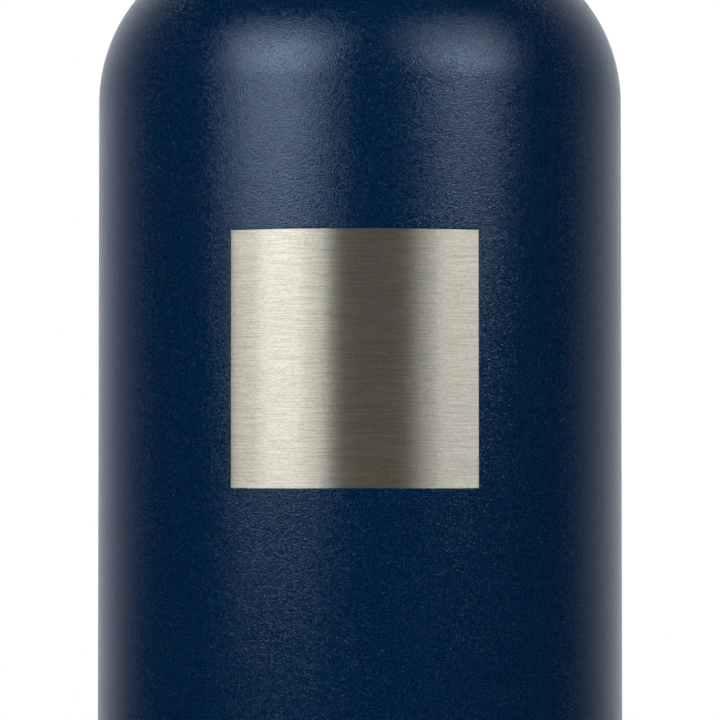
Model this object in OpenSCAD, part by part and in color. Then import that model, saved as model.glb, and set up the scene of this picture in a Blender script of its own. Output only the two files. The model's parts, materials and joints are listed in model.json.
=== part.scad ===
// Insulated water bottle: a double-wall vacuum flask with a screw lid, a drinking cap
// that screws on the lid's spout, and a swing handle.
// Millimetres, +Z up, origin at the centre of the foot. The etched window faces -Y.

/* [Body] */
// Outside diameter of the coated body
body_d = 73; // [70:0.5:82]
// Height at which the straight wall ends and the shoulder starts
shoulder_z = 200; // [150:1:240]
// Radius of the shoulder's arc
shoulder_r = 22.7; // [20.5:0.1:26]
// Radius of the edge between the wall and the foot
base_edge_r = 4; // [3:0.5:6]
// Thickness of the sheet steel of the shell, liner and base
steel_t = 0.4; // [0.3:0.05:0.6]
// Thickness of the powder coat
coat_t = 0.12; // [0.1:0.01:0.2]
// Gap of the vacuum between the walls of shell and liner
vacuum_gap = 2.3; // [1.8:0.1:3]

/* [Etched window] */
// Width of the window, measured round the body
etch_w = 33.6; // [20:0.2:50]
// Height of the window
etch_h = 33.6; // [20:0.2:60]
// Drop from the top of the straight wall to the window
etch_drop = 19.8; // [10:0.2:60]

/* [Base] */
// Height of bare steel at the foot, below the coat
bare_foot_h = 1; // [0.5:0.1:2]
// Width of the flat foot ring
foot_w = 2.2; // [1.6:0.1:4]
// Height of the base plate above the ground
plate_z = 2.2; // [1.5:0.1:4]
// Diameter of the dimple round the vacuum port
dimple_d = 16; // [12:0.5:20]
// Rise of the dimple above the base plate
dimple_h = 1.2; // [1:0.1:1.6]
// Diameter of the vacuum port
port_d = 2.4; // [1.5:0.1:4]
// Diameter of the glass bead that seals the port
bead_d = 7; // [5:0.5:10]
// Height of the glass bead
bead_h = 0.8; // [0.5:0.1:1]
// Gap between the base plate and the liner's floor
floor_gap = 4.2; // [4:0.1:7]
// Radius of the edge between the liner's wall and floor
liner_edge_r = 7; // [4:0.5:10]
// Diameter of the getter pill
getter_d = 8; // [6:0.5:10]
// Thickness of the getter pill
getter_t = 1.5; // [1:0.1:2]
// Thickness of the getter's clip
clip_t = 0.3; // [0.2:0.05:0.5]
// Distance of the getter's middle from the edge of the base plate
getter_inset = 13; // [10:0.5:16]

/* [Foil] */
// Thickness of the reflective foil
foil_t = 0.1; // [0.08:0.01:0.15]
// Width of the slit where the foil's edges meet
foil_slit = 2; // [1:0.5:4]
// Distance of the foil from each end of the liner's straight wall
foil_margin = 6; // [2:1:20]

/* [Neck] */
// Outside diameter of the coated neck
neck_d = 54; // [52:0.5:58]
// Straight height of the neck, from its fillet to the lip
neck_h = 13.6; // [13:0.1:18]
// Radius of the fillet between shoulder and neck
neck_fillet_r = 4; // [3:0.5:6]
// Gap between the two walls in the neck
neck_gap = 0.85; // [0.6:0.05:1.2]
// Height of bare steel from the end of the coat to the lip
bare_neck_h = 11.8; // [10.5:0.1:12.5]
// Height of the rolled lip
lip_h = 1.6; // [1.2:0.1:2]
// Radius of the liner's shoulder arc
liner_arc_r = 21; // [19.5:0.1:22]
// Radius of the fillet between the liner's shoulder and neck
liner_fillet_r = 4.5; // [3.5:0.1:5]

/* [Threads] */
// Rise of the lid in one turn
lid_lead = 5; // [4:0.5:6]
// Depth of the lid's thread, root to crest
lid_thread_depth = 1.2; // [0.8:0.1:1.4]
// Length of thread in the neck
lid_thread_l = 9; // [7:0.5:10]
// Depth of the neck's thread below the lip
lid_thread_drop = 3; // [2.5:0.5:4]
// Rise of the drinking cap in one turn
cap_lead = 4; // [3:0.5:5]
// Depth of the cap's thread, root to crest
cap_thread_depth = 1; // [0.8:0.1:1.2]
// Length of thread in the cap
cap_thread_l = 7; // [6:0.5:8]
// Depth of the cap's thread below the spout's rim
cap_thread_drop = 2.8; // [2.5:0.1:3.5]
// Radial clearance between a thread and its mate
thread_fit = 0.25; // [0.2:0.01:0.3]

/* [Lid] */
// Depth of the lid's plug below the lip
plug_depth = 17; // [16:0.5:22]
// Wall of the plug
plug_wall = 2; // [1.5:0.1:2.5]
// Thickness of the plug's flange
flange_t = 1.8; // [1.5:0.1:2.5]
// Thickness of the floor welded under the plug
floor_t = 2; // [1.5:0.1:2.5]
// Thickness of the lid's gasket
gasket_t = 1.6; // [1.2:0.1:2.5]
// Clearance round the flange and the neck inside the collar
skirt_fit = 0.4; // [0.3:0.05:0.6]
// Wall of the collar
collar_wall = 1.7; // [1.4:0.1:2.4]
// Drop of the collar's skirt below the lip
skirt_drop = 9.5; // [8:0.5:10]
// Rise of the collar's crown from its rounded edge to the spout
crown_h = 1.2; // [0.8:0.1:2]
// Radius of the collar's upper edge
collar_edge_r = 3; // [2:0.5:4]
// Number of grip flutes round the collar
collar_flutes = 44; // [30:2:56]
// Bore of the spout
spout_bore_d = 21; // [18:0.5:23]
// Wall of the spout
spout_wall = 2; // [1.6:0.1:2.4]
// Height of the spout's rim above the bottom of the cap
spout_h = 11.6; // [11:0.1:14]

/* [Drinking cap] */
// Gap between the cap and the collar's crown
cap_gap = 0.5; // [0.3:0.1:1]
// Thickness of the cap's gasket
cap_gasket_t = 1.4; // [1:0.1:2]
// Wall of the cap's threaded liner outside its thread
cap_liner_wall = 1.8; // [1.5:0.1:2.5]
// Thickness of the cap liner's top plate
cap_plate_t = 1.8; // [1.2:0.1:2.5]
// Depth of the cap's plug in the spout
cap_plug_depth = 5; // [4:0.5:7]
// Wall of the cap's plug
cap_plug_wall = 1.6; // [1.2:0.1:2]
// Wall of the cap's outer shell
cap_wall = 2; // [1.6:0.1:2.6]
// Thickness of the steel disc on the cap
disc_t = 0.7; // [0.5:0.1:1]
// Width of the cap's rim round the disc
disc_rim = 3.6; // [2.8:0.1:5]
// Radius of the cap's upper edge
cap_edge_r = 2; // [1:0.1:2.6]
// Number of grip flutes round the cap
cap_flutes = 28; // [20:2:36]

/* [Handle] */
// Diameter of the pivot pins
pin_d = 3; // [2.5:0.1:3.4]
// Diameter of the pivot pins' heads
pin_head_d = 7.2; // [6:0.2:7.6]
// Height of the pivot pins' heads
pin_head_h = 1.4; // [1:0.1:2]
// Diameter of the handle's hubs, and width of its arms
hub_d = 12.4; // [12:0.2:14]
// Thickness of the band that the handle is bent from
band_t = 4.4; // [3.8:0.1:6]
// Width of the handle's top bar
bar_w = 16; // [13:0.5:20]
// Room for fingers between the cap and the bar
finger_gap = 21; // [17:0.5:30]
// Radius of the handle's inner corners
corner_r = 17; // [12:0.5:20]
// Thickness of the soft grip round the bar
grip_t = 1.3; // [1:0.1:2]
// Swing of the handle to each side
swing_deg = 90; // [60:1:95]
// Thickness of the washers between collar and handle
washer_t = 0.5; // [0.4:0.1:0.8]
// Height of the pads that the handle turns on, over the collar
pad_h = 0.8; // [0.6:0.1:1.2]
// Diameter of the stop pegs on the pads
peg_d = 1.8; // [1.4:0.1:2]

/* [Fits] */
// Gap that stands for the squeeze of a soft seal
seal_gap = 0.05; // [0.03:0.01:0.1]
// Clearance between moulded pieces that don't move
mould_fit = 0.1; // [0.05:0.01:0.15]
// Radial clearance of the handle on its pins
pivot_fit = 0.05; // [0.02:0.01:0.1]
// Clearance between the handle and what it turns against
turn_fit = 0.12; // [0.1:0.01:0.2]

/* [Hidden] */
$fn = 96;
over = 1;             // how far a cutter runs past the face it cuts
thread_sides = 48;    // sides of a thread's section
turn_steps = 24;      // slices of a thread in one turn
navy = "#14284b";
steel = "silver";
black = "#1c1d20";
rubber_grey = "#3b3d42";

// Body and neck radii
body_r = body_d / 2;
neck_r = neck_d / 2;
shell_r = body_r - coat_t;
shell_neck_r = neck_r - coat_t;
liner_r = shell_r - steel_t - vacuum_gap;
liner_neck_r = shell_neck_r - steel_t - neck_gap;
mouth_r = liner_neck_r - steel_t;

// Heights up the flask
fillet_z = shoulder_z + fillet_rise(body_r - shoulder_r, shoulder_r, neck_fillet_r, neck_r);
lip_z = fillet_z + neck_h;
liner_floor_z = plate_z + steel_t + floor_gap;
liner_seam_z = liner_floor_z + liner_edge_r;
coat_top_z = lip_z - bare_neck_h;
etch_top_z = shoulder_z - etch_drop;
plate_r = body_r - base_edge_r - foot_w;
getter_x = plate_r - getter_inset;

// Threads: a round section set off from the axis by half the thread's depth
thread_room = 0.2;    // from the neck's thread to the bores above and below it
lid_thread_e = lid_thread_depth / 2;
neck_thread_r = mouth_r - thread_room - lid_thread_e;
neck_bore_r = neck_thread_r - lid_thread_e - thread_room / 2;
neck_thread_z = lip_z - lid_thread_drop - lid_thread_l;
plug_thread_r = neck_thread_r - thread_fit;
plug_r = plug_thread_r - lid_thread_e - thread_room;
thread_inset = 0.4;   // how much shorter a male thread is at each end than its mate

// Lid
flange_r = neck_r + skirt_fit + 0.3;   // 0.3 is the bite of the collar's snap under the flange
flange_z = lip_z + gasket_t;
flange_top_z = flange_z + flange_t;
skirt_r = neck_r + skirt_fit;
collar_r = flange_r + mould_fit / 2 + collar_wall - 0.4;   // the wall is 0.4 thinner over the flange
boss_r = pin_d / 2 + 1.8;
pivot_z = flange_top_z + mould_fit + boss_r;
collar_edge_z = pivot_z + boss_r + 1.1;
crown_z = collar_edge_z + crown_h;
spout_bore_r = spout_bore_d / 2;
spout_r = spout_bore_r + spout_wall;
cap_z = crown_z + cap_gap;
spout_z = cap_z + spout_h;
plug_floor_z = lip_z - plug_depth - floor_t;

// Cap
cap_thread_e = cap_thread_depth / 2;
spout_thread_r = spout_r + thread_room + cap_thread_e;
cap_thread_r = spout_thread_r + thread_fit;
cap_entry_r = cap_thread_r + cap_thread_e + thread_room;
cap_liner_r = cap_entry_r + cap_liner_wall;
cap_thread_top_z = spout_z - cap_thread_drop;
cap_plate_z = spout_z + cap_gasket_t;
cap_plug_r = spout_bore_r - 0.6;       // free of the spout's bore by 0.6
cap_shell_r = cap_liner_r + mould_fit + cap_wall;
cap_roof_z = cap_plate_z + cap_plate_t + mould_fit;
cap_top_z = cap_roof_z + cap_wall + disc_t;
disc_r = cap_shell_r - disc_rim;
crown_bore_r = spout_thread_r + cap_thread_e + 0.8;

// Handle
pad_x = collar_r + pad_h;
hub_r = hub_d / 2;
arm_x = pad_x + washer_t + turn_fit;
arm_out_x = arm_x + band_t;
peg_r = peg_d / 2;
peg_drop = hub_r - peg_r - 1;          // from the pivot down to the stop peg
peg_h = 1.3;                           // of a stop peg, beyond the handle's inner face
slot_depth = peg_h + 0.3;
head_x = arm_out_x - 1 + turn_fit;     // the pin's head lies in a recess 1 deep
bar_z = cap_top_z + finger_gap;
arch_top_z = bar_z + band_t;

// Height from the centre of a shoulder's arc to the centre of the fillet that leads into its neck
function fillet_rise(arc_x, arc_r, fillet_r, neck) =
    sqrt(pow(arc_r + fillet_r, 2) - pow(neck + fillet_r - arc_x, 2));

// ---- Flat sections, in the (radius, height) plane ----

module box_2d(x0, x1, z0, z1) {
    translate([x0, z0]) square([x1 - x0, z1 - z0]);
}

// A disc that rounds a corner
module corner(x, z, r) {
    translate([x, z]) circle(r);
}

// A rectangle with its two upper corners rounded
module soft_top(x0, x1, z0, z1, r) {
    box_2d(x0, x1, z0, z1 - r);
    box_2d(x0 + r, x1 - r, z0, z1);
    corner(x0 + r, z1 - r, r);
    corner(x1 - r, z1 - r, r);
}

// A rectangle whose upper corner at x1 is rounded
module soft_shoulder(x0, x1, z0, z1, r) {
    box_2d(x0, x1, z0, z1 - r);
    box_2d(x0, x1 - r, z0, z1);
    corner(x1 - r, z1 - r, r);
}

// The half section inside a vessel's wall: floor, rounded edge, straight wall, shoulder and neck
module vessel_section(wall_r, floor_z, edge_r, arc_z, arc_r, fillet_r, neck, top_z) {
    arc_x = wall_r - arc_r;
    fillet_x = neck + fillet_r;
    turn_z = arc_z + fillet_rise(arc_x, arc_r, fillet_r, neck);
    touch_z = arc_z + arc_r / (arc_r + fillet_r) * (turn_z - arc_z);
    box_2d(0, wall_r - edge_r, floor_z, arc_z);
    corner(wall_r - edge_r, floor_z + edge_r, edge_r);
    box_2d(0, wall_r, floor_z + edge_r, arc_z);
    intersection() {
        translate([arc_x, arc_z]) circle(arc_r);
        box_2d(arc_x, wall_r + over, arc_z - over, touch_z);
    }
    difference() {
        polygon([[0, arc_z - over], [arc_x, arc_z - over], [arc_x, arc_z], [fillet_x, turn_z], [0, turn_z]]);
        translate([fillet_x, turn_z]) circle(fillet_r);
    }
    box_2d(0, neck, arc_z, top_z);
}

// The outside of the bottle, drawn in by inset. The steel under the coat stands on the ground.
module bottle_section(inset, top_z) {
    vessel_section(body_r - inset, inset - coat_t, base_edge_r - inset, shoulder_z,
                   shoulder_r - inset, neck_fillet_r + inset, neck_r - inset, top_z);
}

// The outside of the liner, drawn in by inset
module liner_section(inset, top_z) {
    vessel_section(liner_r - inset, liner_floor_z + inset, liner_edge_r - inset, shoulder_z,
                   liner_arc_r - inset, liner_fillet_r + inset, liner_neck_r - inset, top_z);
}

// ---- Shared solids ----

// A rod with a single round right-hand thread: a disc set off by e, turned as it rises.
// Its phase is that of a thread that starts at start_z.
module screw_rod(r, e, lead, start_z, z0, z1) {
    turns = (z1 - z0) / lead;
    translate([0, 0, z0]) rotate(360 * (z0 - start_z) / lead)
        linear_extrude(height = z1 - z0, twist = -360 * turns, slices = ceil(turns * turn_steps),
                       $fn = thread_sides) translate([e, 0]) circle(r);
}

// A cylinder along X from x0 to x1 at height z, on the side (1 or -1)
module side_cylinder(side, x0, x1, z, r) {
    translate([side * x0, 0, z]) rotate([0, side * 90, 0]) cylinder(h = x1 - x0, r = r);
}

// ---- Flask ----

module outer_shell() color(steel) rotate_extrude() difference() {
    bottle_section(coat_t, lip_z - lip_h);
    bottle_section(coat_t + steel_t, lip_z);
    box_2d(-over, plate_r, -over, base_edge_r);
}

module powder_coat() color(navy) difference() {
    rotate_extrude() difference() {
        bottle_section(0, coat_top_z);
        bottle_section(coat_t, coat_top_z + over);
        box_2d(-over, body_r + over, -over, bare_foot_h);
    }
    etch_window();
}

// The sector of the coat that is etched away
module etch_window() {
    sweep = etch_w / body_r * 180 / PI;
    rotate(-90 - sweep / 2) rotate_extrude(angle = sweep)
        box_2d(body_r - 3, body_r + 3, etch_top_z - etch_h, etch_top_z);
}

module inner_flask() color(steel) difference() {
    rotate_extrude() {
        difference() {
            liner_section(0, lip_z - lip_h / 2);
            liner_section(steel_t, lip_z);
            box_2d(-over, liner_r + over, 0, liner_seam_z);
        }
        box_2d(neck_bore_r, liner_neck_r - steel_t / 2, neck_thread_z - over, lip_z - lid_thread_drop);
        soft_top(mouth_r, shell_neck_r, lip_z - lip_h, lip_z, 0.5);
    }
    screw_rod(neck_thread_r, lid_thread_e, lid_lead, neck_thread_z, neck_thread_z,
              lip_z - lid_thread_drop + over);
}

module inner_base() color(steel) rotate_extrude() intersection() {
    difference() {
        liner_section(0, lip_z);
        liner_section(steel_t, lip_z + over);
    }
    box_2d(0, liner_r + over, 0, liner_seam_z);
}

module reflective_foil() color("#b87333") {
    slit_deg = foil_slit / liner_r * 180 / PI;
    rotate(90 + slit_deg / 2) rotate_extrude(angle = 360 - slit_deg)
        box_2d(liner_r + mould_fit, liner_r + mould_fit + foil_t,
               liner_seam_z + foil_margin, shoulder_z - foil_margin);
}

module base_cup() color(steel) rotate_extrude() {
    dimple_r = dimple_d / 2;
    box_2d(plate_r - steel_t, plate_r, 0, plate_z + steel_t);
    box_2d(dimple_r - steel_t, plate_r, plate_z, plate_z + steel_t);
    box_2d(dimple_r - steel_t, dimple_r, plate_z, plate_z + dimple_h + steel_t);
    box_2d(port_d / 2, dimple_r, plate_z + dimple_h, plate_z + dimple_h + steel_t);
}

module vacuum_seal() color("#2a3238") rotate_extrude() {
    roof_z = plate_z + dimple_h;
    box_2d(0, port_d / 2, roof_z - bead_h, roof_z + steel_t);
    box_2d(0, bead_d / 2 - bead_h / 2, roof_z - bead_h, roof_z);
    box_2d(0, bead_d / 2, roof_z - bead_h / 2, roof_z);
    corner(bead_d / 2 - bead_h / 2, roof_z - bead_h / 2, bead_h / 2);
}

module getter_clip() color(steel) translate([getter_x, 0, plate_z + steel_t]) {
    ear_h = clip_t + getter_t * 0.7;
    translate([-getter_d / 2 - 2, -2.5, 0]) cube([getter_d + 4, 5, clip_t]);
    for (side = [-1, 1])
        translate([side * (getter_d / 2 + clip_t) - clip_t / 2, -2.5, 0]) cube([clip_t, 5, ear_h]);
}

module getter() color("#6b6e72")
    translate([getter_x, 0, plate_z + steel_t + clip_t]) cylinder(h = getter_t, r = getter_d / 2);

// ---- Lid ----

module lid_gasket() color(rubber_grey) rotate_extrude()
    box_2d(plug_r + 0.8, skirt_r - 0.3, lip_z + seal_gap, flange_z - seal_gap);

module lid_plug() color(black) {
    thread_z0 = neck_thread_z + thread_inset;
    thread_z1 = lip_z - lid_thread_drop - thread_inset;
    rotate_extrude() {
        box_2d(plug_r - plug_wall, plug_r, lip_z - plug_depth, flange_top_z);
        box_2d(spout_r, flange_r, flange_z, flange_top_z);
    }
    difference() {
        screw_rod(plug_thread_r, lid_thread_e, lid_lead, neck_thread_z, thread_z0, thread_z1);
        translate([0, 0, thread_z0 - over])
            cylinder(h = thread_z1 - thread_z0 + 2 * over, r = plug_r - plug_wall / 2);
    }
}

module lid_spout() color(black) {
    thread_z = cap_thread_top_z - cap_thread_l;
    rotate_extrude() soft_top(spout_bore_r, spout_r, lip_z - plug_depth, spout_z, 0.7);
    difference() {
        screw_rod(spout_thread_r, cap_thread_e, cap_lead, thread_z, thread_z + thread_inset,
                  cap_thread_top_z - thread_inset);
        translate([0, 0, thread_z]) cylinder(h = cap_thread_l, r = spout_r - spout_wall / 2);
    }
}

module lid_floor() color(black) rotate_extrude()
    polygon([
        [spout_bore_r + floor_t / 2, plug_floor_z], [plug_r - floor_t / 2, plug_floor_z],
        [plug_r, plug_floor_z + floor_t / 2], [plug_r, plug_floor_z + floor_t],
        [spout_bore_r, plug_floor_z + floor_t], [spout_bore_r, plug_floor_z + floor_t / 2]
    ]);

module lid_foam() color("#e8dfc0") rotate_extrude()
    box_2d(spout_r + mould_fit, plug_r - plug_wall - mould_fit,
           lip_z - plug_depth + mould_fit, flange_z - mould_fit);

// The collar's outside in half section: skirt, rounded edge and crown
module collar_section() {
    edge_x = collar_r - collar_edge_r;
    soft_shoulder(crown_bore_r, collar_r, lip_z - skirt_drop, collar_edge_z, collar_edge_r);
    polygon([[crown_bore_r, collar_edge_z - over], [edge_x, collar_edge_z - over], [edge_x, collar_edge_z],
             [crown_bore_r + 2, crown_z], [crown_bore_r, crown_z]]);
}

// The room inside the collar: round the neck, round the flange and under the crown
module collar_room_section() {
    roof_z = collar_edge_z - collar_wall;
    box_2d(0, skirt_r, lip_z - skirt_drop - over, flange_z - mould_fit);
    box_2d(0, flange_r + mould_fit / 2, flange_z - mould_fit, flange_top_z + mould_fit / 2);
    box_2d(crown_bore_r + collar_wall, flange_r - 1.5, flange_top_z, roof_z);
    box_2d(0, crown_bore_r + collar_wall + over, flange_z, flange_top_z + mould_fit / 2);
}

module lid_collar() color(black) difference() {
    union() {
        difference() {
            rotate_extrude() collar_section();
            rotate_extrude() collar_room_section();
            collar_grip_flutes();
        }
        for (side = [-1, 1]) {
            side_cylinder(side, flange_r + mould_fit, pad_x, pivot_z, hub_r);
            side_cylinder(side, crown_bore_r + collar_wall / 2, collar_r, pivot_z, boss_r);
            side_cylinder(side, pad_x - over, arm_x + peg_h, pivot_z - peg_drop, peg_r);
        }
    }
    for (side = [-1, 1])
        side_cylinder(side, crown_bore_r + collar_wall + over, pad_x + over, pivot_z, pin_d / 2);
}

// Upright flutes round the skirt, left out under the handle's pads
module collar_grip_flutes() {
    flute_r = 1.1;
    for (i = [0 : collar_flutes - 1]) {
        angle = 360 * (i + 0.5) / collar_flutes;
        if (abs(cos(angle)) < cos(18))
            rotate(angle) translate([collar_r + 0.5, 0, lip_z - skirt_drop + 1.2])
                cylinder(h = collar_edge_z - lip_z + skirt_drop - collar_edge_r - 2.4, r = flute_r);
    }
}

module pivot_pin(side) color(steel) {
    side_cylinder(side, crown_bore_r + collar_wall + over, head_x, pivot_z, pin_d / 2);
    translate([side * head_x, 0, pivot_z]) rotate([0, side * 90, 0]) rotate_extrude()
        soft_shoulder(0, pin_head_d / 2, 0, pin_head_h, pin_head_h / 2);
}

module pivot_washer(side) color("#d8d8d4") difference() {
    side_cylinder(side, pad_x, pad_x + washer_t, pivot_z, peg_drop - peg_r - 0.3);
    side_cylinder(side, pad_x - over, pad_x + washer_t + over, pivot_z, pin_d / 2 + pivot_fit);
}

// ---- Drinking cap ----

module cap_gasket() color(rubber_grey) rotate_extrude()
    box_2d(cap_plug_r + 0.3, spout_r, spout_z + seal_gap, cap_plate_z - seal_gap);

module cap_liner() color(black) difference() {
    rotate_extrude() {
        plug_z = spout_z - cap_plug_depth;
        box_2d(cap_entry_r, cap_liner_r, cap_z, cap_thread_top_z - cap_thread_l);
        box_2d(spout_r + thread_room, cap_liner_r, cap_thread_top_z - cap_thread_l, cap_plate_z);
        box_2d(cap_plug_r - cap_plug_wall, cap_liner_r, cap_plate_z, cap_plate_z + cap_plate_t);
        box_2d(cap_plug_r - cap_plug_wall, cap_plug_r, plug_z, cap_plate_z);
        box_2d(0, cap_plug_r - cap_plug_wall, plug_z, plug_z + cap_plug_wall);
    }
    screw_rod(cap_thread_r, cap_thread_e, cap_lead, cap_thread_top_z - cap_thread_l,
              cap_thread_top_z - cap_thread_l - over, cap_thread_top_z);
}

module cap_foam() color("#e8dfc0") translate([0, 0, spout_z - cap_plug_depth + cap_plug_wall + mould_fit / 2])
    cylinder(h = cap_plate_z + cap_plate_t - spout_z + cap_plug_depth - cap_plug_wall - mould_fit,
             r = cap_plug_r - cap_plug_wall - mould_fit);

module cap_shell() color(black) difference() {
    rotate_extrude() {
        soft_shoulder(0, cap_shell_r, cap_z, cap_top_z, cap_edge_r);
    }
    translate([0, 0, cap_roof_z + cap_wall - over]) cylinder(h = cap_wall + over, r = disc_r + mould_fit);
    translate([0, 0, cap_z - over]) cylinder(h = cap_roof_z - cap_z + over, r = cap_liner_r + mould_fit);
    for (i = [0 : cap_flutes - 1])
        rotate(360 * i / cap_flutes) translate([cap_shell_r + 0.5, 0, cap_z + 1.4])
            cylinder(h = cap_top_z - cap_z - 4.6, r = 1.2);
}

module cap_disc() color(steel)
    translate([0, 0, cap_roof_z + cap_wall]) cylinder(h = disc_t, r = disc_r);

// ---- Handle ----

// The arch in front view: straight arms, round corners and a level bar
module arch_outline(x, top_z, r) {
    soft_top(-x, x, pivot_z - hub_r - over, top_z, r);
}

// The arch in side view: a round hub, an arm and a wider bar
module arm_outline() {
    flare_z = bar_z - corner_r;
    corner(0, pivot_z, hub_r);
    polygon([
        [-hub_r, pivot_z], [hub_r, pivot_z], [hub_r, flare_z], [bar_w / 2, bar_z - corner_r / 4],
        [bar_w / 2, arch_top_z + over], [-bar_w / 2, arch_top_z + over],
        [-bar_w / 2, bar_z - corner_r / 4], [-hub_r, flare_z]
    ]);
}

module handle_arch() color(black) difference() {
    intersection() {
        rotate([90, 0, 0]) translate([0, 0, -bar_w]) linear_extrude(2 * bar_w) difference() {
            arch_outline(arm_out_x, arch_top_z, corner_r + band_t);
            arch_outline(arm_x, bar_z, corner_r);
        }
        rotate([90, 0, 90]) translate([0, 0, -arm_out_x - over])
            linear_extrude(2 * (arm_out_x + over)) arm_outline();
    }
    for (side = [-1, 1]) {
        side_cylinder(side, arm_x - over, arm_out_x + over, pivot_z, pin_d / 2 + pivot_fit);
        side_cylinder(side, arm_out_x - 1, arm_out_x + over, pivot_z, pin_head_d / 2 + 0.3);
        stop_slot(side);
    }
}

// The arc in a hub's inner face that a stop peg runs in
module stop_slot(side) {
    half_deg = swing_deg + asin((peg_r + turn_fit) / peg_drop);
    inner_r = peg_drop - peg_r - turn_fit;
    outer_r = peg_drop + peg_r + turn_fit;
    x0 = side > 0 ? arm_x - over : -arm_x - slot_depth;
    translate([x0, 0, pivot_z]) rotate([0, 90, 0])
        rotate(-half_deg) rotate_extrude(angle = 2 * half_deg) box_2d(inner_r, outer_r, 0, slot_depth + over);
}

module handle_grip() color(rubber_grey) {
    half_l = arm_x - corner_r - 0.8;
    rotate([90, 0, 90]) translate([0, 0, -half_l]) linear_extrude(2 * half_l) difference() {
        grip_outline(bar_w / 2 + grip_t, bar_z - grip_t, arch_top_z + grip_t, 1.8);
        box_2d(-bar_w / 2, bar_w / 2, bar_z, arch_top_z);
    }
}

// A rectangle with all four corners rounded
module grip_outline(x, z0, z1, r) {
    box_2d(-x, x, z0 + r, z1 - r);
    box_2d(r - x, x - r, z0, z1);
    for (side = [-1, 1]) {
        corner(side * (x - r), z0 + r, r);
        corner(side * (x - r), z1 - r, r);
    }
}

outer_shell();
powder_coat();
inner_flask();
inner_base();
reflective_foil();
base_cup();
vacuum_seal();
getter();
getter_clip();
lid_gasket();
lid_plug();
lid_spout();
lid_floor();
lid_foam();
lid_collar();
pivot_pin(-1);  // pivot_pin_left
pivot_pin(1);  // pivot_pin_right
pivot_washer(-1);  // pivot_washer_left
pivot_washer(1);  // pivot_washer_right
cap_gasket();
cap_liner();
cap_foam();
cap_shell();
cap_disc();
handle_arch();
handle_grip();
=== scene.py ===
"""Insulated water bottle: its looks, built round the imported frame.

Sizes are in millimetres and become metres when a mesh is made. +Z is up and the bare square
faces -Y, towards the camera.
"""
import json
import math

import bmesh
import bpy
from mathutils import Matrix, Vector


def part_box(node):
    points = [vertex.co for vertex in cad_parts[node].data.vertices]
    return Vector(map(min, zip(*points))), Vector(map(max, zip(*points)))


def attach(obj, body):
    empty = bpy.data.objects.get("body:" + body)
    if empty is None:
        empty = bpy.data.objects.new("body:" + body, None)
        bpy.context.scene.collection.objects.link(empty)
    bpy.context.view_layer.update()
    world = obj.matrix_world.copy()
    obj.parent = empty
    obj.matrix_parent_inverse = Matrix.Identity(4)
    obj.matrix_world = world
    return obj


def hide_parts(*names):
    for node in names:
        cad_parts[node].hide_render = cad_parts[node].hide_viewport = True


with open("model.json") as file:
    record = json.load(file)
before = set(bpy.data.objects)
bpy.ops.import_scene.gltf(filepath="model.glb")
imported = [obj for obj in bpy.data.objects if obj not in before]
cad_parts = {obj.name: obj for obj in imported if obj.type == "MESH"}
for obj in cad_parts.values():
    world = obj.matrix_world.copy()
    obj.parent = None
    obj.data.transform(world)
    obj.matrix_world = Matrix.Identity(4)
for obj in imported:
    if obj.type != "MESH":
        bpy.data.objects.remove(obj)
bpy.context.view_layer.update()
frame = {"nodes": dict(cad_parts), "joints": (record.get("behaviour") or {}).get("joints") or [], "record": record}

MM = 0.001
OVER = 1  # how far a solid runs past a face that it cuts or joins


# ---- Sizes: the frame gives them where it can, and the rest repeat part.scad's ----

def low(node):
    """The lowest corner of a CAD node's box."""
    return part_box(node)[0] / MM


def high(node):
    """The highest corner of a CAD node's box."""
    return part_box(node)[1] / MM


# Fits
MOULD_FIT = 0.1
PIVOT_FIT = 0.05
TURN_FIT = 0.12
THREAD_FIT = 0.25
THREAD_ROOM = 0.2  # from a thread to the bores above and below it
THREAD_INSET = 0.4  # how much shorter a male thread is at each end than its mate
THREAD_END = 0.5  # how far a threaded bore reaches above its thread

# Shell and coat
BODY_R = high("powder_coat").x
COAT_T = BODY_R - high("outer_shell").x
STEEL_T = 0.4
BASE_EDGE_R = 4
SHOULDER_Z = 200
SHOULDER_R = 22.7
NECK_R = 27
NECK_FILLET_R = 4
COAT_FOOT_Z = low("powder_coat").z
COAT_TOP_Z = high("powder_coat").z
SHELL_TOP_Z = high("outer_shell").z

# The square window in the coat
ETCH_W = 33.6
ETCH_H = 33.6
ETCH_DROP = 19.8
ETCH_TOP_Z = SHOULDER_Z - ETCH_DROP

# Base plate and the bead that seals its port
PLATE_R = high("base_cup").x
DIMPLE_TOP_Z = high("base_cup").z
DIMPLE_R = 8
DIMPLE_H = 1.2
PORT_R = 1.2
BEAD_H = 0.8

# Liner
LINER_R = high("inner_flask").x
LINER_SEAM_Z = low("inner_flask").z
LINER_ARC_R = 21
LINER_FILLET_R = 4.5
NECK_GAP = 0.85
LINER_NECK_R = NECK_R - COAT_T - STEEL_T - NECK_GAP
MOUTH_R = LINER_NECK_R - STEEL_T
LIP_H = 1.6
LIP_Z = high("inner_flask").z

# Thread between lid and neck. E is how far a thread's round section is off the axis.
LID_LEAD = 5
LID_THREAD_E = 0.6
LID_THREAD_DROP = 3
LID_THREAD_L = 9
NECK_THREAD_R = MOUTH_R - THREAD_ROOM - LID_THREAD_E
NECK_BORE_R = NECK_THREAD_R - LID_THREAD_E - THREAD_ROOM / 2
NECK_THREAD_Z1 = LIP_Z - LID_THREAD_DROP
NECK_THREAD_Z0 = NECK_THREAD_Z1 - LID_THREAD_L
PLUG_THREAD_R = NECK_THREAD_R - THREAD_FIT

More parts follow.
